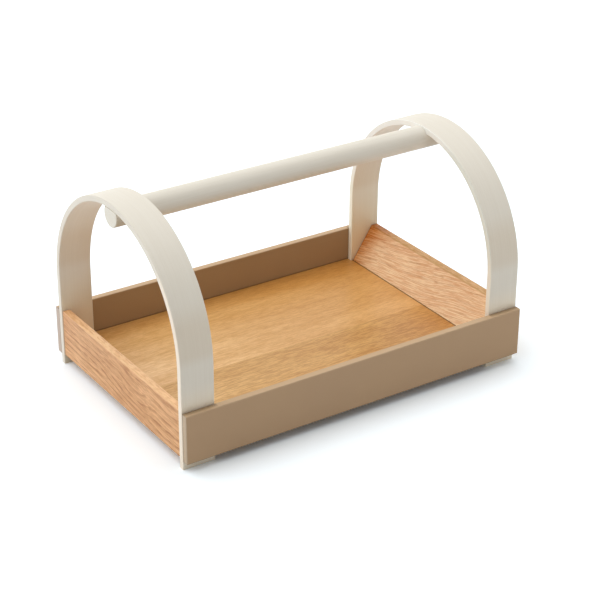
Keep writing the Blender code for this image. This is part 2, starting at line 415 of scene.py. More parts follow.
def block_finish(name, end, look):
    """Oiled oak, its grain along the block and a few degrees off it, as this block was sawn.

    The top and the rims are worn, the ends at the legs are dark, and the far end has painted shade,
    over a longer stretch the higher up it is.
    """
    finish, tree, surface = new_finish(name, 0.5)
    surface.inputs["Specular IOR Level"].default_value = 0.35
    place = node(tree, "ShaderNodeTexCoord").outputs["Object"]
    lean_up, lean_in = look["lean"]
    turn = (math.radians(lean_up), 0.0, math.radians(lean_in - 90))
    turned = node(tree, "ShaderNodeMapping", {"Vector": place, "Rotation": turn}).outputs[0]
    across, up = look["pith"]
    figure = placed(tree, oak_figure, {
        "Place": turned,
        "Pith": (0.0, -end * block_middle.x + across, block_middle.z + up),
        "Ring width": look["ring"],
        "Ring line": look["line"],
        "Wander": look["wander"],
        "Stroke length": look["stroke"][0],
        "Stroke width": look["stroke"][1],
        "Seed": look["seed"],
    })
    depth = block_depth(tree, place)
    rim = placed(tree, worn_rim, {
        "Depth": depth,
        "Place": place,
        "Width": 1.6 * MM,
        "Unevenness": 0.6,
    })["Rim"]
    pale = reckon(tree, "MULTIPLY", figure["Tone"], 0.35)
    pale = reckon(tree, "MULTIPLY_ADD", figure["Strokes"], 0.65, pale)
    colour = mixed(tree, pale, look["warm"], look["pale"])
    dark = reckon(tree, "MULTIPLY", figure["Early wood"], look["lines"])
    colour = mixed(tree, dark, colour, look["dark"])
    porous = reckon(tree, "MULTIPLY_ADD", figure["Early wood"], 0.4, 0.25)
    porous = reckon(tree, "MULTIPLY", figure["Pores"], porous)
    colour = mixed(tree, porous, colour, look["dark"])
    under_top = parts_of(tree, depth)[1]
    patchy = noise(tree, stretched(tree, turned, 9 * MM, 2 * MM), 1.0)
    patchy = eased(tree, patchy, 0.35, 0.65, look["worn_top"], 0.9)
    top = eased(tree, under_top, 0.2 * MM, 0.9 * MM, patchy, 0.0)
    worn = reckon(tree, "MAXIMUM", reckon(tree, "MULTIPLY", rim, 0.6), top)
    colour = mixed(tree, worn, colour, look["worn"])
    # Painted shade at the far end, reaching further along the higher up it is.
    _, along, height = parts_of(tree, place)
    upper = reckon(tree, "MAXIMUM", reckon(tree, "SUBTRACT", height, FLOOR_TOP + SLOPE_RISE / 2), 0.0)
    reach = reckon(tree, "MULTIPLY_ADD", upper, 0.9, along)
    end_shade = reckon(tree, "MULTIPLY", eased(tree, reach, *END_SHADE_ZONE), look["painted_end_shade"])
    streaky = reckon(tree, "MULTIPLY_ADD", figure["Strokes"], -0.35, 1.12)
    end_shade = reckon(tree, "MULTIPLY", end_shade, streaky)
    colour = tinted(tree, end_shade, colour, BLOCK_END_SHADE)
    to_leg = reckon(tree, "SUBTRACT", BLOCK_HALF_Y, reckon(tree, "ABSOLUTE", along))
    seam = eased(tree, to_leg, 0.3 * MM, 1.1 * MM, 0.45, 0.0)
    colour = mixed(tree, seam, colour, look["dark"])
    feed(tree, surface.inputs["Base Color"], colour)
    feed(tree, surface.inputs["Roughness"], eased(tree, porous, 0.0, 0.6, 0.44, 0.62))
    raise_surface(tree, surface, reckon(tree, "MULTIPLY", porous, -1.0), 0.12 * MM)
    return finish


for end_name, end in ENDS.items():
    groove_x = block_low.x + BLOCK_GROOVE_DEPTH
    slot_top = floor_high.z + GLUE_LINE
    slot_bottom = floor_low.z - GLUE_LINE
    slot_top_x = block_low.x + SLOPE_RUN * GLUE_LINE / SLOPE_RISE
    section = [
        (block_low.x, block_low.z),
        (block_high.x, block_low.z),
        (block_high.x, block_high.z),
        (block_high.x - BLOCK_TOP_WIDTH, block_high.z),
        (slot_top_x, slot_top),
        (groove_x, slot_top),
        (groove_x, slot_bottom),
        (block_low.x, slot_bottom),
    ]
    outline = [(end * x, z) for x, z in section]
    block = sawn(f"oak_end_{end_name}", outline, "Y", -BLOCK_HALF_Y, BLOCK_HALF_Y)
    ease_edges(block, EASED_EDGE, lambda point: point.z < FLOOR_TOP + SLOPE_RISE / 2)
    for side_name in SIDES:
        for level in ("low", "high"):
            bore_for(block, f"corner_pin_{end_name}_{side_name}_{level}")
    finish_shape(block)
    block.data.materials.append(block_finish(f"oiled_oak_{end_name}", end, BLOCKS[end_name]))
    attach(block, "root")
    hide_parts(f"end_block_{end_name}")


# Floor panel
# A thin oak-veneered board, its grain along the tray. Its edges sit in grooves in the sides and the end
# blocks, and its four corners are cut out round the legs.

arch_low, arch_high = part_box("arch_right")
SHOULDER_X = arch_low.x - GLUE_LINE
SHOULDER_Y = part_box("side_board_far")[0].y
LEAF_JOINT_Y = -12 * MM
LEAF_SHIFT = 310 * MM
FLOOR_PITH = (0.0, 180 * MM, -100 * MM)
FLOOR_EASED_EDGE = 0.15 * MM
FLOOR_PALE = (0.960, 0.620, 0.282, 1.0)
FLOOR_WARM = (0.735, 0.400, 0.128, 1.0)
FLOOR_DARK = (0.400, 0.160, 0.040, 1.0)
FLOOR_SEAM = (0.160, 0.065, 0.015, 1.0)
LEAF_NEAR = (0.880, 0.840, 0.680, 1.0)
LEAF_MIDDLE = (0.920, 0.880, 0.790, 1.0)
# Deeper tone for the right end, and painted shade along the far side.
FLOOR_DEEPER_AND_SHADE = (0.780, 0.620, 0.380, 1.0)
LEAF_LEFT = (0.985, 1.030, 1.180, 1.0)
MIDDLE_ZONE = (14 * MM, 40 * MM)
FAR_SHADE_ZONE = (79 * MM, 95 * MM)
FAR_EDGE_SHADE_ZONE = (94 * MM, 114 * MM)
LEFT_ZONE = (-150 * MM, -85 * MM)
RIGHT_ZONE = (-150 * MM, 170 * MM)
CORNER_ZONE = (80 * MM, 150 * MM)


def floor_finish():
    """Two leaves of veneer, jointed along the tray.

    It is deeper towards the right end, has painted shade along the far side, and is less yellow at the left
    end.
    """
    finish, tree, surface = new_finish("oak_veneer", 0.42)
    place = node(tree, "ShaderNodeTexCoord").outputs["Object"]
    along, across, _ = parts_of(tree, place)
    near_leaf = eased(tree, across, LEAF_JOINT_Y - 0.4 * MM, LEAF_JOINT_Y + 0.4 * MM, 1.0, 0.0)
    leaf_shift = vector(tree, reckon(tree, "MULTIPLY", near_leaf, LEAF_SHIFT), 0.0, near_leaf)
    figure = placed(tree, oak_figure, {
        "Place": reckon_vector(tree, "ADD", place, leaf_shift),
        "Pith": FLOOR_PITH,
        "Ring width": 8 * MM,
        "Ring line": 0.5,
        "Wander": 3 * MM,
        "Stroke length": 13 * MM,
        "Stroke width": 1.5 * MM,
        "Seed": 5.7,
    })
    pale = reckon(tree, "MULTIPLY", figure["Tone"], 0.5)
    pale = reckon(tree, "MULTIPLY_ADD", figure["Strokes"], 0.5, pale)
    colour = mixed(tree, pale, FLOOR_WARM, FLOOR_PALE)
    dark = reckon(tree, "MULTIPLY", figure["Early wood"], 0.10)
    colour = mixed(tree, dark, colour, FLOOR_DARK)
    porous = reckon(tree, "MULTIPLY_ADD", figure["Early wood"], 0.2, 0.30)
    porous = reckon(tree, "MULTIPLY", figure["Pores"], porous)
    colour = mixed(tree, porous, colour, FLOOR_DARK)
    dashes = reckon(tree, "MULTIPLY", reckon(tree, "SUBTRACT", 1.0, figure["Strokes"]), near_leaf)
    colour = mixed(tree, reckon(tree, "MULTIPLY", dashes, 0.21), colour, FLOOR_DARK)
    colour = tinted(tree, near_leaf, colour, LEAF_NEAR)
    beyond_middle = eased(tree, across, *MIDDLE_ZONE)
    colour = tinted(tree, beyond_middle, colour, LEAF_MIDDLE)
    to_right = eased(tree, along, *RIGHT_ZONE, 0.0, 0.72)
    # Painted shade where the far board shades the floor, deepest along the far edge.
    to_far = eased(tree, across, *FAR_SHADE_ZONE, 0.0, 0.45)
    to_far = reckon(tree, "ADD", to_far, eased(tree, across, *FAR_EDGE_SHADE_ZONE, 0.0, 0.22))
    corner = reckon(tree, "MULTIPLY", near_leaf, eased(tree, along, *CORNER_ZONE, 0.0, 0.30))
    deeper_and_shaded = reckon(tree, "ADD", reckon(tree, "ADD", to_right, to_far), corner)
    colour = tinted(tree, deeper_and_shaded, colour, FLOOR_DEEPER_AND_SHADE)
    to_left = eased(tree, along, *LEFT_ZONE, 1.0, 0.0)
    colour = tinted(tree, to_left, colour, LEAF_LEFT)
    # A dark seam where the floor meets the ends and the sides, widened with painted shade in the corners.
    to_end = reckon(tree, "SUBTRACT", block_low.x, reckon(tree, "ABSOLUTE", along))
    to_side = reckon(tree, "SUBTRACT", SHOULDER_Y, reckon(tree, "ABSOLUTE", across))
    seam = eased(tree, reckon(tree, "MINIMUM", to_end, to_side), 0.2 * MM, 1.7 * MM, 0.85, 0.0)
    colour = mixed(tree, seam, colour, FLOOR_SEAM)
    feed(tree, surface.inputs["Base Color"], colour)
    feed(tree, surface.inputs["Roughness"], eased(tree, porous, 0.0, 0.4, 0.32, 0.48))
    raise_surface(tree, surface, reckon(tree, "MULTIPLY", porous, -1.0), 0.05 * MM)
    return finish


quarter = [
    (floor_high.x, BLOCK_HALF_Y),
    (SHOULDER_X, BLOCK_HALF_Y),
    (SHOULDER_X, floor_high.y),
]
panel_outline = [
    *quarter,
    *[(-x, y) for x, y in quarter[::-1]],
    *[(-x, -y) for x, y in quarter],
    *[(x, -y) for x, y in quarter[::-1]],
]
panel = sawn("oak_floor", panel_outline, "Z", floor_low.z, floor_high.z)
ease_edges(panel, FLOOR_EASED_EDGE)
finish_shape(panel)
panel.data.materials.append(floor_finish())
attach(panel, "root")
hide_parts("floor_panel")


# Side boards
# Two thin boards sprayed with matt taupe paint, a little paler along the sanded edges. Each has a stopped
# groove inside for the floor, and is glued and pinned over the outside of the legs.

board_low, board_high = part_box("side_board_far")
BOARD_GROOVE_DEPTH = 2.8 * MM
PAINT = (0.500, 0.328, 0.185, 1.0)
PAINT_DEEP = (0.478, 0.308, 0.170, 1.0)
PAINT_INSIDE_SHADE = (0.800, 0.810, 0.770, 1.0)
PAINT_RIM = (0.570, 0.400, 0.240, 1.0)
PAINT_NARROW = (0.580, 0.395, 0.230, 1.0)
# Painted shade in the joints, beside the legs and along the lower edge.
PAINT_SHADE = (0.180, 0.115, 0.060, 1.0)
PAINT_NEAR_END = (0.508, 0.385, 0.262, 1.0)
PAINT_FAR_END = (0.572, 0.462, 0.388, 1.0)


def paint_finish():
    """Matt paint, paler on sanded rims and narrow faces; painted shade inside, in joints and on the lower
    edge.

    The end faces of the near and of the far board each have a tone of their own.
    """
    finish, tree, surface = new_finish("taupe_paint", 0.55)
    place = node(tree, "ShaderNodeTexCoord").outputs["Object"]
    middle = (board_low + board_high) / 2
    half = (board_high - board_low) / 2
    near = reckon_vector(tree, "ABSOLUTE", place)
    offset = reckon_vector(tree, "SUBTRACT", near, (0.0, middle.y, middle.z))
    depth = reckon_vector(tree, "SUBTRACT", tuple(half), reckon_vector(tree, "ABSOLUTE", offset))
    rim = placed(tree, worn_rim, {
        "Depth": depth,
        "Place": place,
        "Width": 1.1 * MM,
        "Unevenness": 0.5,
    })["Rim"]
    cloud = eased(tree, noise(tree, place, 14.0, 3.0, 0.55), 0.3, 0.7)
    colour = mixed(tree, cloud, PAINT_DEEP, PAINT)
    along, outward, up = parts_of(tree, near)
    # Painted shade on the inner faces.
    inside = eased(tree, outward, board_low.y + 0.2 * MM, board_low.y + 0.6 * MM, 1.0, 0.0)
    colour = tinted(tree, inside, colour, PAINT_INSIDE_SHADE)
    from_end, within, _ = parts_of(tree, depth)
    colour = mixed(tree, eased(tree, within, 0.2 * MM, 0.9 * MM), colour, PAINT_NARROW)
    colour = mixed(tree, reckon(tree, "MULTIPLY", rim, 0.7), colour, PAINT_RIM)
    end_face = eased(tree, from_end, 0.3 * MM, 0.8 * MM, 1.0, 0.0)
    far = eased(tree, parts_of(tree, place)[1], 0.0, 1.0 * MM)
    far_end = reckon(tree, "MULTIPLY", end_face, far)
    near_end = reckon(tree, "SUBTRACT", end_face, far_end)
    colour = mixed(tree, near_end, colour, PAINT_NEAR_END)
    colour = mixed(tree, far_end, colour, PAINT_FAR_END)
    # Painted shade in the gap where the near board's end meets the leg.
    seam = eased(tree, outward, board_low.y + 1.0 * MM, board_low.y + 2.2 * MM, 0.6, 0.0)
    colour = mixed(tree, reckon(tree, "MULTIPLY", near_end, seam), colour, PAINT_SHADE)
    # Painted shadow of the leg on the board's top beside it.
    by_leg = eased(tree, along, arch_low.x - 1.2 * MM, arch_low.x + 0.4 * MM)
    at_leg = eased(tree, outward, board_low.y + 0.8 * MM, board_low.y + 7 * MM, 0.75, 0.0)
    at_top = eased(tree, up, board_high.z - 0.9 * MM, board_high.z - 0.3 * MM)
    joint_shade = reckon(tree, "MULTIPLY", reckon(tree, "MULTIPLY", by_leg, at_leg), at_top)
    colour = mixed(tree, joint_shade, colour, PAINT_SHADE)
    # Painted shade along the lower edge.
    lower_edge_shade = eased(tree, up, board_low.z + 0.3 * MM, board_low.z + 1.0 * MM, 0.75, 0.0)
    colour = mixed(tree, lower_edge_shade, colour, PAINT_SHADE)
    feed(tree, surface.inputs["Base Color"], colour)
    feed(tree, surface.inputs["Roughness"], eased(tree, cloud, 0.0, 1.0, 0.50, 0.60))
    peel = noise(tree, place, 900.0, 2.0, 0.5)
    raise_surface(tree, surface, peel, 0.03 * MM)
    return finish


taupe_paint = paint_finish()

for side_name, side in SIDES.items():
    low_y, high_y = sorted((side * board_low.y, side * board_high.y))
    section = [
        (low_y, board_low.z),
        (high_y, board_low.z),
        (high_y, board_high.z),
        (low_y, board_high.z),
    ]
    board = sawn(f"painted_side_{side_name}", section, "X", board_low.x, board_high.x)
    ease_edges(board, EASED_EDGE)
    groove_low, groove_high = sorted((
        side * (board_low.y - GLUE_LINE),
        side * (board_low.y + BOARD_GROOVE_DEPTH),
    ))
    groove = [
        (groove_low, floor_low.z - GLUE_LINE),
        (groove_high, floor_low.z - GLUE_LINE),
        (groove_high, floor_high.z + GLUE_LINE),
        (groove_low, floor_high.z + GLUE_LINE),
    ]
    cut_away(board, sawn("groove", groove, "X", -arch_low.x, arch_low.x))
    for end_name in ENDS:
        for level in ("low", "high"):
            bore_for(board, f"corner_pin_{end_name}_{side_name}_{level}")
    finish_shape(board)
    board.data.materials.append(taupe_paint)
    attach(board, "root")
    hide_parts(f"side_board_{side_name}")


# Bent strips
# Each arch is one long strip, glued up from thin layers in a former: a straight leg, a half circle and a
# straight leg. It is stained cream, its edges a little warmer, and its lower ends are the tray's feet.

STRIP_THICKNESS = 5.8 * MM
STRIP_LAYERS = 4
BEND_RADIUS = arch_high.y - STRIP_THICKNESS / 2
LEG_HEIGHT = arch_high.z - arch_high.y
STRIP_WIDTH = arch_high.x - arch_low.x
STRIP_MIDDLE_X = (arch_low.x + arch_high.x) / 2
BEND_POINTS = 240
CREAM = (0.852, 0.801, 0.699, 1.0)
CREAM_DEEP = (0.785, 0.720, 0.606, 1.0)
CREAM_LOW = (0.950, 0.910, 0.865, 1.0)
CREAM_OAK_BOUNCE = (1.000, 0.965, 0.865, 1.0)
CREAM_LIT_ABOVE_BOARD = (1.120, 1.080, 1.015, 1.0)
LOW_BEND_STARTS = (2 * MM, 16 * MM)
LOW_BEND_FADES = (36 * MM, 62 * MM)
INSIDE_FADES = (0.0, 60 * MM)
OAK_BOUNCE_FADES = (50 * MM, 105 * MM)
LIT_ABOVE_BOARD_FADES = (board_high.z, board_high.z + 28 * MM)
# For each strip: a tint of painted light and shade for the inner face low in the bend, and edge colours,
# warmer than the faces, that change over the bend as painted light and shade.
STRIP_EDGES_AND_LIGHT = {
    "left": {
        "inside": (0.970, 0.970, 0.970, 1.0),
        "near_leg": (0.977, 0.862, 0.716, 1.0),
        "onward": [
            ((38, 48), (0.766, 0.711, 0.617, 1.0)),
            ((110, 130), (0.810, 0.750, 0.655, 1.0)),
        ],
    },
    "right": {
        "inside": (1.090, 1.080, 1.020, 1.0),
        "near_leg": (0.940, 0.875, 0.735, 1.0),
        "onward": [
            ((0, 14), (0.766, 0.787, 0.704, 1.0)),
            ((60, 76), (0.975, 0.965, 0.915, 1.0)),
            ((155, 178), (1.000, 0.980, 0.810, 1.0)),
        ],
    },
}
STRIP_SIZES = {
    "Leg height": LEG_HEIGHT,
    "Bend radius": BEND_RADIUS,
    "Strip width": STRIP_WIDTH,
    "Strip thickness": STRIP_THICKNESS,
    "Edge round": EASED_EDGE,
    "Middle": 0.0,
}


def strip_tree():
    """Geometry nodes for a bent strip: a path up one leg, over the bend and down, swept with a section."""
    tree = bpy.data.node_groups.new("bent_strip", "GeometryNodeTree")
    for label, value in STRIP_SIZES.items():
        socket = tree.interface.new_socket(name=label, in_out="INPUT", socket_type="NodeSocketFloat")
        socket.default_value = value
    tree.interface.new_socket(name="Points", in_out="INPUT", socket_type="NodeSocketInt")
    tree.interface.new_socket(name="Finish", in_out="INPUT", socket_type="NodeSocketMaterial")
    tree.interface.new_socket(name="Strip", in_out="OUTPUT", socket_type="NodeSocketGeometry")
    given = tree.nodes.new("NodeGroupInput").outputs
    leg, radius = given["Leg height"], given["Bend radius"]
    bend = reckon(tree, "MULTIPLY", radius, math.pi)
    whole = reckon(tree, "MULTIPLY_ADD", leg, 2.0, bend)
    gap = reckon(tree, "DIVIDE", whole, reckon(tree, "SUBTRACT", given["Points"], 1.0))
    index = node(tree, "GeometryNodeInputIndex").outputs[0]
    travelled = reckon(tree, "MULTIPLY", index, gap)
    past_leg = reckon(tree, "SUBTRACT", travelled, leg)
    past_bend = reckon(tree, "SUBTRACT", past_leg, bend)
    in_bend = reckon(tree, "MAXIMUM", reckon(tree, "MINIMUM", past_leg, bend), 0.0)
    angle = reckon(tree, "DIVIDE", in_bend, radius)
    across = reckon(tree, "MULTIPLY", reckon(tree, "COSINE", angle), radius)
    rise = reckon(tree, "MULTIPLY_ADD", reckon(tree, "SINE", angle), radius, leg)
    rise = reckon(tree, "ADD", rise, reckon(tree, "MINIMUM", past_leg, 0.0))
    rise = reckon(tree, "SUBTRACT", rise, reckon(tree, "MAXIMUM", past_bend, 0.0))
    line = node(tree, "GeometryNodeMeshLine", {"Count": given["Points"]}, mode="OFFSET")
    path = node(tree, "GeometryNodeSetPosition", {
        "Geometry": line.outputs[0],
        "Position": vector(tree, given["Middle"], across, rise),
    })
    path = node(tree, "GeometryNodeMeshToCurve", {"Mesh": path.outputs[0]})
    section = node(tree, "GeometryNodeCurvePrimitiveQuadrilateral", {
        "Width": given["Strip width"],
        "Height": given["Strip thickness"],
    })
    section = node(tree, "GeometryNodeFilletCurve", {
        "Curve": section.outputs[0],
        "Radius": given["Edge round"],
        "Count": 4,
    }, mode="POLY")
    swept = node(tree, "GeometryNodeCurveToMesh", {
        "Curve": path.outputs[0],
        "Profile Curve": section.outputs[0],
        "Fill Caps": True,
    })
    real = node(tree, "GeometryNodeRealizeInstances", {"Geometry": swept.outputs[0]})
    dressed = node(tree, "GeometryNodeSetMaterial", {
        "Geometry": real.outputs[0],
        "Material": given["Finish"],
    })
    feed(tree, tree.nodes.new("NodeGroupOutput").inputs[0], dressed.outputs[0])
    return tree


def grain_group():
    """Fine grain along the X of Place: long thin streaks, 1 where a streak is deepest."""
    group, given, result = new_group(
        "fine_grain",
        {"Place": (0.0, 0.0, 0.0), "Length": 50 * MM, "Width": 1 * MM},
        ["Grain"],
    )
    cells = stretched(group, given["Place"], given["Length"], given["Width"])
    streaked = noise(group, cells, 1.0, 3.0, 0.6)
    feed(group, result.inputs["Grain"], eased(group, streaked, 0.35, 0.7))
    return group


fine_grain = grain_group()


def strip_finish(name, look):
    """Cream stain that lets a trace of the grain through; the pattern is laid out along the strip.

    The edges are warmer, and over the bend their colour changes as painted light and shade:
    "onward" gives the degrees between which each colour comes in.
    """
    finish, tree, surface = new_finish(name, 0.5)
    place = node(tree, "ShaderNodeTexCoord").outputs["Object"]
    out, side, up = parts_of(tree, reckon_vector(tree, "ABSOLUTE", place))
    over = reckon(tree, "MAXIMUM", reckon(tree, "SUBTRACT", up, LEG_HEIGHT), 0.0)
    angle = reckon(tree, "ARCTAN2", over, side)
    level = reckon(tree, "MINIMUM", up, LEG_HEIGHT)
    along = reckon(tree, "MULTIPLY_ADD", angle, BEND_RADIUS, level)
    square = reckon(tree, "MULTIPLY", side, side)
    from_centre = reckon(tree, "SQRT", reckon(tree, "MULTIPLY_ADD", over, over, square))
    through = reckon(tree, "SUBTRACT", from_centre, BEND_RADIUS)
    across = reckon(tree, "SUBTRACT", out, STRIP_MIDDLE_X)
    depth = vector(
        tree,
        level,
        reckon(tree, "SUBTRACT", STRIP_WIDTH / 2, reckon(tree, "ABSOLUTE", across)),
        reckon(tree, "SUBTRACT", STRIP_THICKNESS / 2, reckon(tree, "ABSOLUTE", through)),
    )
    to_right, to_far, height = parts_of(tree, place)
    apart = reckon(tree, "MULTIPLY_ADD", reckon(tree, "SIGN", to_right), 3.0, along)
    apart = reckon(tree, "ADD", apart, reckon(tree, "SIGN", to_far))
    unbent = vector(tree, apart, across, through)
    rim = placed(tree, worn_rim, {
        "Depth": depth,
        "Place": place,
        "Width": 0.9 * MM,
        "Unevenness": 0.5,
    })["Rim"]
    grain = placed(tree, fine_grain, {"Place": unbent, "Length": 70 * MM, "Width": 0.9 * MM})["Grain"]
    broad = placed(tree, fine_grain, {"Place": unbent, "Length": 260 * MM, "Width": 7 * MM})["Grain"]
    colour = mixed(tree, reckon(tree, "MULTIPLY", grain, 0.30), CREAM, CREAM_DEEP)
    colour = mixed(tree, reckon(tree, "MULTIPLY", broad, 0.20), colour, CREAM_DEEP)
    low_bend = eased(tree, over, *LOW_BEND_STARTS)
    low_bend = reckon(tree, "MULTIPLY", low_bend, eased(tree, over, *LOW_BEND_FADES, 1.0, 0.0))
    colour = tinted(tree, low_bend, colour, CREAM_LOW)
    inner_face = eased(tree, through, -STRIP_THICKNESS / 2, -STRIP_THICKNESS / 4, 1.0, 0.0)
    # Painted light and shade on the inner face low in the bend, its own for each strip.
    inside = reckon(tree, "MULTIPLY", inner_face, eased(tree, over, *INSIDE_FADES, 1.0, 0.0))
    colour = tinted(tree, inside, colour, look["inside"])
    # Painted light bounced from the oak onto the low inner faces.
    oak_bounce = eased(tree, height, *OAK_BOUNCE_FADES, 1.0, 0.0)
    oak_bounce = reckon(tree, "MULTIPLY", inner_face, oak_bounce)
    colour = tinted(tree, oak_bounce, colour, CREAM_OAK_BOUNCE)
    # Painted light on the outer faces just above the boards' top.
    outer_face = eased(tree, through, STRIP_THICKNESS / 4, STRIP_THICKNESS / 2)
    lit_above_board = eased(tree, height, *LIT_ABOVE_BOARD_FADES, 1.0, 0.0)
    lit_above_board = reckon(tree, "MULTIPLY", outer_face, lit_above_board)
    colour = tinted(tree, lit_above_board, colour, CREAM_LIT_ABOVE_BOARD)
    from_near = reckon(tree, "ARCTAN2", over, reckon(tree, "MULTIPLY", to_far, -1.0))
    # Edge colours: warmer than the faces, and changing over the bend as painted light and shade.
    edge_tone_and_light = look["near_leg"]
    for degrees, next_colour in look["onward"]:
        comes_in = eased(tree, from_near, *map(math.radians, degrees))
        edge_tone_and_light = mixed(tree, comes_in, edge_tone_and_light, next_colour)
    aside = reckon(tree, "ABSOLUTE", across)
    edge_face = eased(tree, aside, STRIP_WIDTH / 2 - 0.6 * MM, STRIP_WIDTH / 2 - 0.2 * MM)
    from_inside = reckon(tree, "ADD", through, STRIP_THICKNESS / 2)
    layer = reckon(tree, "FRACT", reckon(tree, "DIVIDE", from_inside, STRIP_THICKNESS / STRIP_LAYERS))
    from_middle = reckon(tree, "ABSOLUTE", reckon(tree, "SUBTRACT", layer, 0.5))
    glue = eased(tree, from_middle, 0.42, 0.5)
    colour = mixed(tree, reckon(tree, "MULTIPLY", edge_face, 0.7), colour, edge_tone_and_light)
    lines = reckon(tree, "MULTIPLY", reckon(tree, "MULTIPLY", glue, edge_face), 0.35)
    colour = mixed(tree, lines, colour, CREAM_DEEP)
    colour = mixed(tree, reckon(tree, "MULTIPLY", rim, 0.3), colour, edge_tone_and_light)
    feed(tree, surface.inputs["Base Color"], colour)
    feed(tree, surface.inputs["Roughness"], eased(tree, grain, 0.0, 1.0, 0.46, 0.58))
    raise_surface(tree, surface, reckon(tree, "MULTIPLY", grain, -1.0), 0.03 * MM)
    return finish


bent_strip = strip_tree()
strip_inputs = {item.name: item.identifier for item in bent_strip.interface.items_tree}

for end_name, end in ENDS.items():
    arch = piece_from(f"bent_strip_{end_name}", bmesh.new())
    bender = arch.modifiers.new("bend", "NODES")
    bender.node_group = bent_strip
    sizes = {**STRIP_SIZES, "Middle": end * STRIP_MIDDLE_X, "Points": BEND_POINTS}
    for label, value in sizes.items():
        bender[strip_inputs[label]] = value
    bender[strip_inputs["Finish"]] = strip_finish(f"cream_stain_{end_name}", STRIP_EDGES_AND_LIGHT[end_name])
    plain_mesh(arch)
    for side_name in SIDES:
        for level in ("low", "high"):
            bore_for(arch, f"corner_pin_{end_name}_{side_name}_{level}")
    for place in ("inner", "outer"):
        bore_for(arch, f"handle_pin_{end_name}_{place}")
    finish_shape(arch)
    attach(arch, "root")
    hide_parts(f"arch_{end_name}")


# Handle
# A turned bar as long as the tray, stained like the strips. A curved seat is cut in the top of each end,
# and the strip lies in it, glued and pinned.

bar_low, bar_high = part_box("handle_dowel")
BAR_RADIUS = (bar_high.y - bar_low.y) / 2
BAR_Z = bar_low.z + BAR_RADIUS
BAR_STEPS = 96
BAR_END_ROUND = 0.8 * MM
SEAT_RADIUS = BEND_RADIUS - STRIP_THICKNESS / 2 - GLUE_LINE
SEAT_STEPS = 40
END_GRAIN = (0.800, 0.770, 0.690, 1.0)
BAR_RIM = (0.960, 0.915, 0.790, 1.0)
BAR_SHADE_BELOW = (0.860, 0.830, 0.785, 1.0)
BAR_JOINT_SHADE = (0.140, 0.095, 0.030, 1.0)
SHADE_BELOW_LEVELS = (-7 * MM, 5 * MM)
SHADE_BELOW_FADES = (45 * MM, 90 * MM)
JOINT_SHADE_LEVELS = (-2 * MM, 7 * MM)
JOINT_SHADE_STARTS = (arch_low.x - 10 * MM, arch_low.x + 8 * MM)


def turned_bar(name):
    """The bar before its seats are cut: rings of points, closer together where the ends are rounded."""
    bm = bmesh.new()
    turns = [math.pi / 2 * step / 4 for step in range(5)]
    left = [
        (
            bar_low.x + BAR_END_ROUND * (1 - math.sin(turn)),
            BAR_RADIUS - BAR_END_ROUND * (1 - math.cos(turn)),
        )
        for turn in turns[::-1]
    ]
    stations = left + [(-x, radius) for x, radius in left[::-1]]
    rings = []
    for x, radius in stations:
        rings.append([
            bm.verts.new((
                x,
                radius * math.cos(2 * math.pi * step / BAR_STEPS),
                BAR_Z + radius * math.sin(2 * math.pi * step / BAR_STEPS),
            ))
            for step in range(BAR_STEPS)
        ])
    for first, second in zip(rings, rings[1:]):
        for step in range(BAR_STEPS):
            following = (step + 1) % BAR_STEPS
            bm.faces.new((first[step], first[following], second[following], second[step]))
    bm.faces.new(rings[0])
    bm.faces.new(rings[-1])
    return piece_from(name, bm)


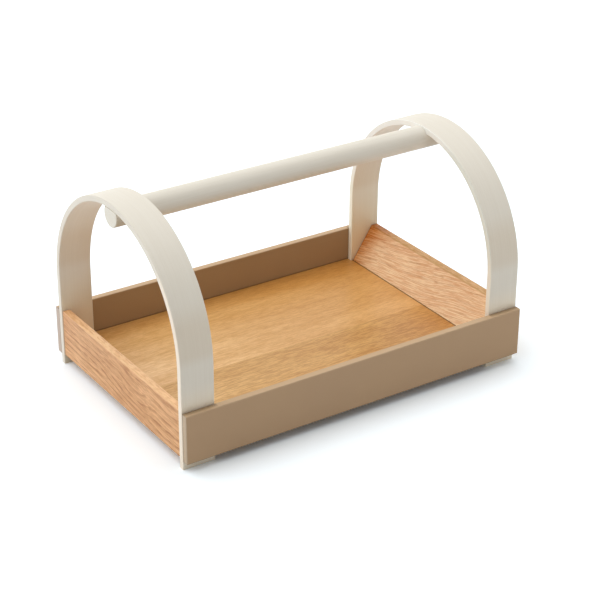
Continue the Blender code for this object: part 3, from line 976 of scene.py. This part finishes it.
def bar_finish():
    """The strips' stain with speckled end grain, with painted shade below and most of all under the strips.
    """
    finish, tree, surface = new_finish("cream_stain_bar", 0.48)
    place = node(tree, "ShaderNodeTexCoord").outputs["Object"]
    axis = node(tree, "ShaderNodeMapping", {"Vector": place, "Location": (0.0, 0.0, -BAR_Z)})
    centred = axis.outputs[0]
    along, aside, height = parts_of(tree, centred)
    square = reckon(tree, "MULTIPLY", aside, aside)
    from_axis = reckon(tree, "SQRT", reckon(tree, "MULTIPLY_ADD", height, height, square))
    from_middle = reckon(tree, "ABSOLUTE", along)
    to_end = reckon(tree, "SUBTRACT", bar_high.x, from_middle)
    depth = vector(tree, to_end, reckon(tree, "SUBTRACT", BAR_RADIUS, from_axis), 1.0)
    rim = placed(tree, worn_rim, {
        "Depth": depth,
        "Place": place,
        "Width": 1.1 * MM,
        "Unevenness": 0.5,
    })["Rim"]
    grain = placed(tree, fine_grain, {"Place": centred, "Length": 45 * MM, "Width": 1.1 * MM})["Grain"]
    broad = placed(tree, fine_grain, {"Place": centred, "Length": 180 * MM, "Width": 6 * MM})["Grain"]
    colour = mixed(tree, reckon(tree, "MULTIPLY", grain, 0.30), CREAM, CREAM_DEEP)
    colour = mixed(tree, reckon(tree, "MULTIPLY", broad, 0.22), colour, CREAM_DEEP)
    # Painted shade on the underside, weaker towards the right end.
    below = eased(tree, height, *SHADE_BELOW_LEVELS, 1.0, 0.0)
    below = reckon(tree, "MULTIPLY", below, eased(tree, along, *SHADE_BELOW_FADES, 1.0, 0.2))
    colour = tinted(tree, below, colour, BAR_SHADE_BELOW)
    # Painted shade on the lower side where the bar runs under the strips.
    joint_shade = eased(tree, from_middle, *JOINT_SHADE_STARTS, 0.0, 0.36)
    joint_shade = reckon(tree, "MULTIPLY", joint_shade, eased(tree, height, *JOINT_SHADE_LEVELS, 1.0, 0.0))
    colour = mixed(tree, joint_shade, colour, BAR_JOINT_SHADE)
    end_face = eased(tree, to_end, 0.0, 0.15 * MM, 1.0, 0.0)
    ends_speck = noise(tree, centred, 1500.0, 2.0, 0.6)
    end_colour = mixed(tree, eased(tree, ends_speck, 0.35, 0.65), END_GRAIN, CREAM_DEEP)
    colour = mixed(tree, end_face, colour, end_colour)
    colour = mixed(tree, reckon(tree, "MULTIPLY", rim, 0.4), colour, BAR_RIM)
    feed(tree, surface.inputs["Base Color"], colour)
    feed(tree, surface.inputs["Roughness"], eased(tree, grain, 0.0, 1.0, 0.44, 0.56))
    raise_surface(tree, surface, reckon(tree, "MULTIPLY", grain, -1.0), 0.03 * MM)
    return finish


bar = turned_bar("handle_bar")
reach = math.asin(1.5 * BAR_RADIUS / SEAT_RADIUS)
seat_curve = [
    (
        SEAT_RADIUS * math.sin(reach - 2 * reach * step / SEAT_STEPS),
        LEG_HEIGHT + SEAT_RADIUS * math.cos(reach - 2 * reach * step / SEAT_STEPS),
    )
    for step in range(SEAT_STEPS + 1)
]
above = bar_high.z + BAR_RADIUS
seat_outline = [*seat_curve, (seat_curve[-1][0], above), (seat_curve[0][0], above)]
for end_name, end in ENDS.items():
    seat_low, seat_high = sorted((end * SHOULDER_X, end * (arch_high.x + STRIP_WIDTH)))
    cut_away(bar, sawn("seat", seat_outline, "X", seat_low, seat_high))
    for place in ("inner", "outer"):
        bore_for(bar, f"handle_pin_{end_name}_{place}")
finish_shape(bar)
bar.data.materials.append(bar_finish())
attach(bar, "root")
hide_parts("handle_dowel")


# Wooden pins
# Blind beech pins hold the corners and the strips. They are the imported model's own pieces, and only their
# material is made here, with the grain along each pin.

BEECH = (0.700, 0.505, 0.320, 1.0)
BEECH_DEEP = (0.560, 0.370, 0.215, 1.0)


def pin_finish(name, turn):
    """Raw beech, turned so that its grain runs along the pin."""
    finish, tree, surface = new_finish(name, 0.6)
    place = node(tree, "ShaderNodeTexCoord").outputs["Object"]
    turned = node(tree, "ShaderNodeMapping", {"Vector": place, "Rotation": turn}).outputs[0]
    grain = placed(tree, fine_grain, {"Place": turned, "Length": 8 * MM, "Width": 0.5 * MM})["Grain"]
    feed(tree, surface.inputs["Base Color"], mixed(tree, grain, BEECH, BEECH_DEEP))
    feed(tree, surface.inputs["Roughness"], eased(tree, grain, 0.0, 1.0, 0.55, 0.68))
    raise_surface(tree, surface, reckon(tree, "MULTIPLY", grain, -1.0), 0.04 * MM)
    return finish


corner_pin_finish = pin_finish("beech_along_y", (0.0, 0.0, math.radians(-90)))
handle_pin_finish = pin_finish("beech_along_z", (0.0, math.radians(90), 0.0))
for name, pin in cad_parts.items():
    if "_pin_" in name:
        for slot in pin.material_slots:
            slot.material = corner_pin_finish if name.startswith("corner") else handle_pin_finish


# Ground, light and camera
# A white ground that keeps the soft shadow, a sky that is brightest behind and to the left, a wide soft
# lamp from the left and one from the right, and a weak fill in front. The camera stands where the picture
# was taken from.

# The ground bounces light as a plain grey, but seen directly it is brighter than white, so that only the
# shadow shows on it.
GROUND_SIZE = 6.0
GROUND_GREY = 0.80
GROUND_SEEN = (1.18, 1.265, 1.33)
SKY_BRIGHT = 1.05
SKY_DIM = 0.02
SKY_TOWARDS = (-0.8, 0.6, 0.0)
SKY_COOL = (0.965, 0.985, 1.0, 1.0)
SKY_WARM = (1.0, 0.955, 0.875, 1.0)
SOFT_SPREAD = math.radians(60)
SOFT_LIGHTS = {
    "soft_left": {"strength": 0.85, "turn": 140, "height": 62},
    "soft_right": {"strength": 1.00, "turn": 5, "height": 50},
}
FILL_POWER = 1.8
FILL_SIZE = 0.7
FILL_PLACE = Vector((1.0, -1.0, 0.45))


def seen_rays(tree):
    """1 for the rays that show a surface or the sky itself, 0 for those that only carry its light."""
    rays = node(tree, "ShaderNodeLightPath").outputs
    seen = reckon(tree, "MAXIMUM", rays["Is Camera Ray"], rays["Is Glossy Ray"])
    return reckon(tree, "MAXIMUM", seen, rays["Is Transmission Ray"])


bm = bmesh.new()
bmesh.ops.create_grid(bm, x_segments=1, y_segments=1, size=GROUND_SIZE / 2)
ground = piece_from("ground", bm)
paper = bpy.data.materials.new("white_paper")
paper.use_nodes = True
tree = paper.node_tree
tree.nodes.remove(tree.nodes["Principled BSDF"])
seen = seen_rays(tree)
shade = mixed(tree, seen, (GROUND_GREY, GROUND_GREY, GROUND_GREY, 1.0), (*GROUND_SEEN, 1.0))
matt = node(tree, "ShaderNodeBsdfDiffuse", {"Color": shade})
feed(tree, tree.nodes["Material Output"].inputs["Surface"], matt.outputs[0])
ground.data.materials.append(paper)

sky = bpy.data.worlds.new("soft_box")
sky.use_nodes = True
bpy.context.scene.world = sky
tree = sky.node_tree
direction = node(tree, "ShaderNodeTexCoord").outputs["Generated"]
facing = node(tree, "ShaderNodeVectorMath", {0: direction, 1: SKY_TOWARDS}, operation="DOT_PRODUCT")
side_share = eased(tree, facing.outputs["Value"], -0.8, 0.8)
seen = seen_rays(tree)
strength = reckon(tree, "MULTIPLY_ADD", side_share, SKY_BRIGHT - SKY_DIM, SKY_DIM)
strength = reckon(tree, "MULTIPLY", strength, reckon(tree, "SUBTRACT", 1.0, seen))
tint = mixed(tree, side_share, SKY_WARM, SKY_COOL)
background = tree.nodes["Background"]
feed(tree, background.inputs["Color"], mixed(tree, seen, tint, (1.0, 1.0, 1.0, 1.0)))
feed(tree, background.inputs["Strength"], reckon(tree, "ADD", strength, seen))

for name, light in SOFT_LIGHTS.items():
    lamp = bpy.data.lights.new(name, "SUN")
    lamp.energy = light["strength"]
    lamp.angle = SOFT_SPREAD
    turn, height = math.radians(light["turn"]), math.radians(light["height"])
    lamp_object = bpy.data.objects.new(name, lamp)
    lamp_object.rotation_euler = (0.0, math.pi / 2 - height, turn)
    bpy.context.scene.collection.objects.link(lamp_object)

fill_data = bpy.data.lights.new("soft_fill", "AREA")
fill_data.energy = FILL_POWER
fill_data.size = FILL_SIZE
fill = bpy.data.objects.new("soft_fill", fill_data)
fill.matrix_world = Matrix.Translation(FILL_PLACE) @ FILL_PLACE.to_track_quat("Z", "Y").to_matrix().to_4x4()
bpy.context.scene.collection.objects.link(fill)

CAMERA_PLACE = Vector((-0.83742, -1.28045, 0.85167))
CAMERA_YAW = math.radians(-33.622)
CAMERA_PITCH = math.radians(27.178)
CAMERA_ROLL = math.radians(0.295)
CAMERA_LENS_MM = 106.82
CAMERA_SENSOR_MM = 36.0
back = Vector((
    math.sin(CAMERA_YAW) * math.cos(CAMERA_PITCH),
    -math.cos(CAMERA_YAW) * math.cos(CAMERA_PITCH),
    math.sin(CAMERA_PITCH),
))
level_right = (-back).cross(Vector((0, 0, 1))).normalized()
level_up = level_right.cross(-back)
right = math.cos(CAMERA_ROLL) * level_right + math.sin(CAMERA_ROLL) * level_up
up = math.cos(CAMERA_ROLL) * level_up - math.sin(CAMERA_ROLL) * level_right
lens = bpy.data.cameras.new("camera")
lens.sensor_width = CAMERA_SENSOR_MM
lens.lens = CAMERA_LENS_MM
camera = bpy.data.objects.new("camera", lens)
camera.matrix_world = Matrix.Translation(CAMERA_PLACE) @ Matrix((right, up, back)).transposed().to_4x4()
bpy.context.scene.collection.objects.link(camera)
bpy.context.scene.camera = camera
bpy.context.scene.view_settings.view_transform = "Standard"
